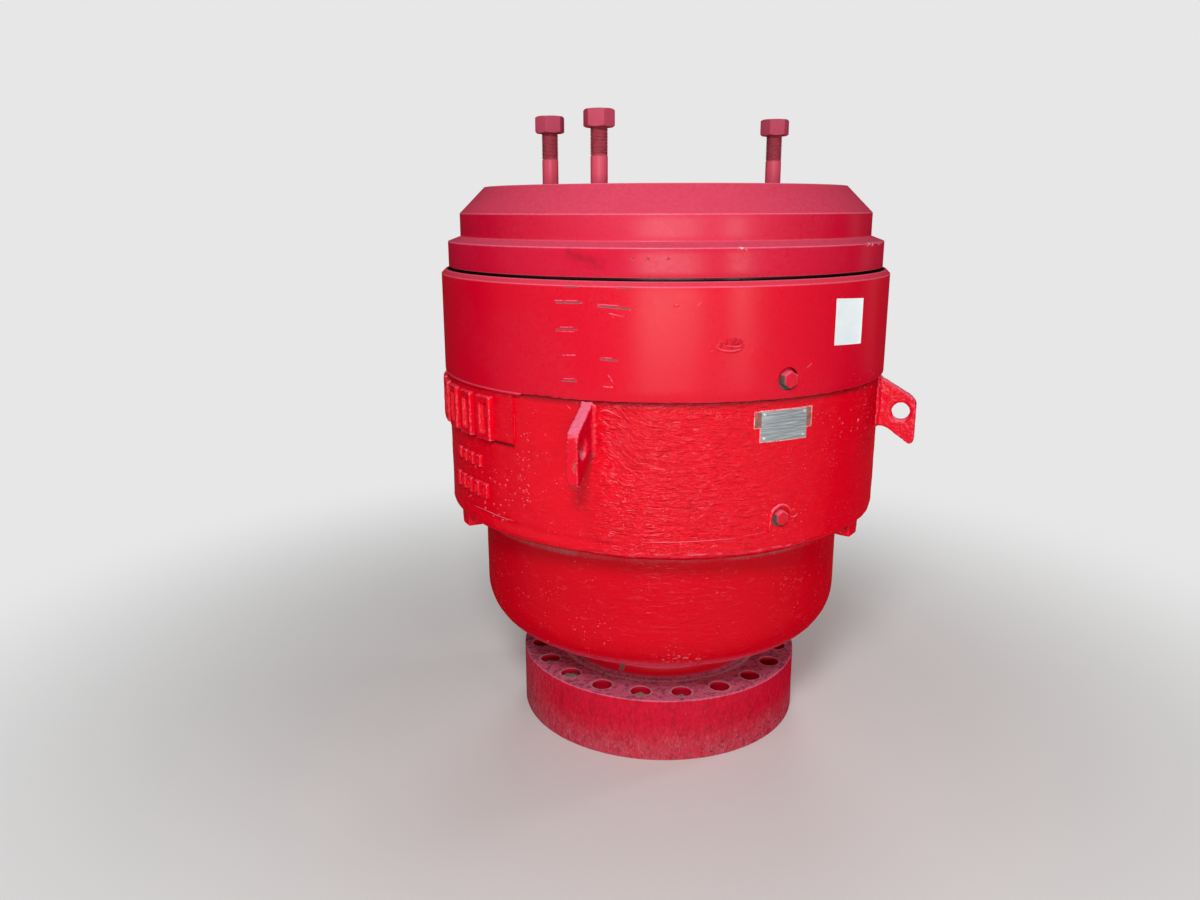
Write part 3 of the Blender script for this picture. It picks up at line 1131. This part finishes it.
# plate with its pins, bare strips and the blank label
plateSet = {"azimuth": 24.8, "wide": 119, "low": 878, "high": 945, "wall": 569.4, "thick": 1.5}
p = plateSet
face = p["wall"] + p["thick"]
halfTurn = math.degrees(p["wide"] / 2 / p["wall"])
left, right = p["azimuth"] - halfTurn, p["azimuth"] + halfTurn
plate = sheetOf("barePlate", p["wall"] - 2, face, p["low"], p["high"], (left, right), 24, 0.5)
pins = []
for across in (-52, 52):
    for up in (p["low"] + 7, p["high"] - 7):
        pins.append(rodOf("pin", [(0, 3.6), (1.2, 3.4), (2, 2.4), (2.3, 1)], 20,
                          facing(p["azimuth"] + math.degrees(across / p["wall"]), face - 0.2, up)))
put(smoothed(plate, 30), plateSteel, "nameplate", slot="plate_metal")
pinSteel = plainFinish("platePin", (0.62, 0.66, 0.68), 0.3, 0.6, 6, 0.1)
put(smoothed(joined(pins, "platePins"), 30), pinSteel, slot="plate_metal")
chipped = plainFinish("chippedPaintEdge", (0.86, 0.46, 0.48), 0.5, 0, 6, 0.4, other=(0.6, 0.02, 0.04))
edge = math.degrees(2.2 / p["wall"])
for name, span, low, high in (
    ("plateMaskRim", (left - edge, right + edge), p["low"] - 2.6, p["high"] + 2.2),
    ("stripMaskRimLeft", (17.1, 19.2), 907.5, 945.5), ("stripMaskRimRight", (30.4, 32.5), 900, 947.5),
):
    rim = sheetOf(name, 565, 569.5, low, high, span, 40, 0.3, (3, 2, 3, 2))
    put(smoothed(roughened(rim, 5, 1.6, direction="Z")), chipped)
for name, span, low, high in (("bareStripLeft", (17.3, 19), 909, 944), ("bareStripRight", (30.7, 32.2), 902, 945)):
    strip = sheetOf(name, 566, 569.9, low, high, span, 6, 0.3)
    put(smoothed(roughened(strip, 6, 1.2, direction="Z")), primerStrip, slot="bare_steel")

labelSet = {"azimuths": (37.7, 48.3), "low": 1075, "high": 1178, "wall": 577, "thick": 0.35}
label = sheetOf("blankLabel", labelSet["wall"] - 1, labelSet["wall"] + labelSet["thick"], labelSet["low"],
                labelSet["high"], labelSet["azimuths"], 20)
for vertex, azimuth, across, up in measured(label):  # it was stuck on a little askew
    vertex.co.z += (2.6 - 5.5 * (azimuth - labelSet["azimuths"][0]) / 10.6) * mm
put(smoothed(label, 30), labelVinyl)
print("plate and label are on")


# the working parts in the bore keep their CAD shapes
for name, finish in (("packing_rubber", rubberSkin), ("packing_inserts", insertSteel), ("wear_plate", boreSteel),
                     ("piston", boreSteel), ("opening_chamber_ring", boreSteel), ("body_sleeve", boreSteel)):
    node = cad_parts[name]
    node.data.materials.clear()
    node.data.materials.append(finish)

deselectAll()
print("sizes are written")
